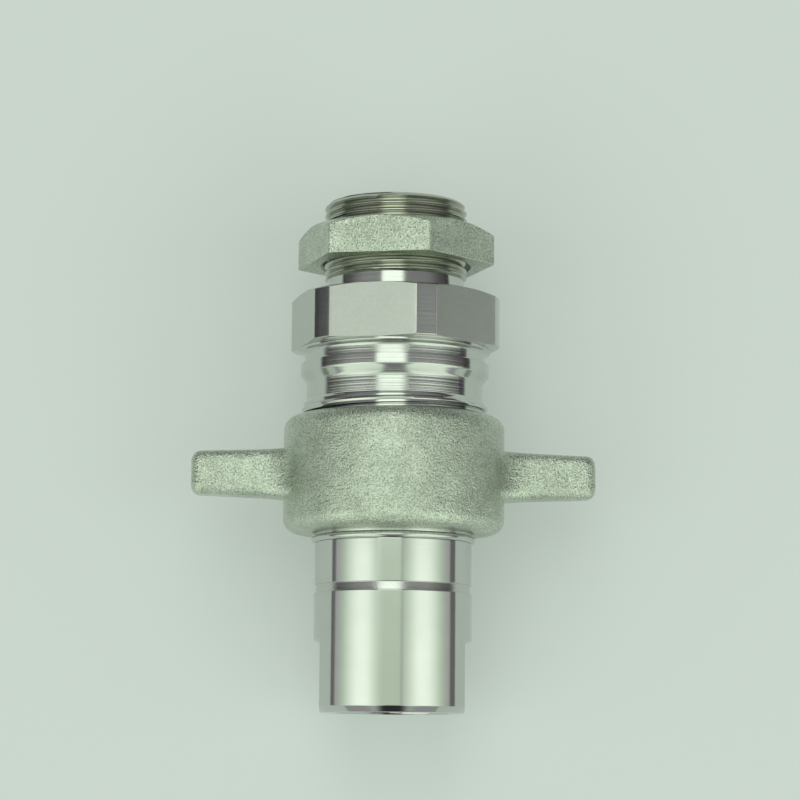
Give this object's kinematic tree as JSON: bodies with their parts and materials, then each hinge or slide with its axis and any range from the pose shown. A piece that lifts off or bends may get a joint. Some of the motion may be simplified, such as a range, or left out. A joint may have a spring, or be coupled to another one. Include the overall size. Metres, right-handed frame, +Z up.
{
  "type": "hydraulic quick coupler",
  "caption": "Straight hydraulic quick coupler in plated steel: bulkhead half with jam nut and poppet, socket half with sleeve valve, joined by a screwed wing nut.",
  "frame": {"origin": "on the flow axis, at the centre of the hexagon's shoulder that seats on the panel", "axes": "+Y along the flow axis towards the bulkhead end, +Z up with the coupler lying on its wing nut and the wings nearly level, the left one 3.5 degrees up, +X to the right seen from above with the bulkhead end away"},
  "size_m": [0.1164, 0.1471, 0.0634],
  "materials": {
    "zinc_turned": "turned steel, bright zinc plated",
    "zinc_forged": "forged and shot-blasted steel, bright zinc plated",
    "steel_turned": "turned steel, plain",
    "spring_wire": "drawn spring wire",
    "seal_rubber": "moulded nitrile rubber",
    "backup_plastic": "cut ring, off-white"
  },
  "bodies": {
    "panel_half": {"male_body": "zinc_turned", "poppet_guide": "steel_turned", "guide_snap_ring": "spring_wire", "poppet_spring": "spring_wire"},
    "jam_nut": {"bulkhead_jam_nut": "zinc_forged"},
    "poppet": {"male_poppet": "steel_turned", "poppet_seal": "seal_rubber"},
    "socket_half": {"socket_body": "zinc_turned", "mouth_o_ring": "seal_rubber", "mouth_backup_ring": "backup_plastic", "nut_retaining_wire": "spring_wire", "sleeve_o_ring": "seal_rubber", "sleeve_backup_ring": "backup_plastic", "sleeve_spring": "spring_wire", "valve_stem": "steel_turned", "stem_head_seal": "seal_rubber", "stem_spider": "steel_turned", "stem_nut": "steel_turned", "hose_adapter": "zinc_turned", "adapter_o_ring": "seal_rubber"},
    "union_nut": {"wing_nut": "zinc_forged"},
    "sleeve": {"valve_sleeve": "steel_turned"}
  },
  "joints": [
    {"name": "jam_nut_travel", "type": "slide", "parent": "panel_half", "child": "jam_nut", "axis": [0, 1, 0], "range_m": [-0.0039, 0.0075]},
    {"name": "nut_turn", "type": "hinge", "parent": "socket_half", "child": "union_nut", "pos_m": [0, -0.0519, 0], "axis": [0, -1, 0], "range_deg": [0, 1440]},
    {"name": "half_slide", "type": "slide", "parent": "panel_half", "child": "socket_half", "axis": [0, -1, 0], "range_m": [0, 0.012]},
    {"name": "poppet_slide", "type": "slide", "parent": "panel_half", "child": "poppet", "axis": [0, -1, 0], "range_m": [0, 0.012], "deforming": ["poppet_spring"]},
    {"name": "sleeve_slide", "type": "slide", "parent": "socket_half", "child": "sleeve", "axis": [0, 1, 0], "range_m": [0, 0.012], "deforming": ["sleeve_spring"]}
  ],
  "couplings": [
    {"joint": "half_slide", "follows": "nut_turn", "m_per_rad": 0.00047746},
    {"joint": "poppet_slide", "follows": "nut_turn", "m_per_rad": 0.00047746},
    {"joint": "sleeve_slide", "follows": "nut_turn", "m_per_rad": 0.00047746}
  ]
}
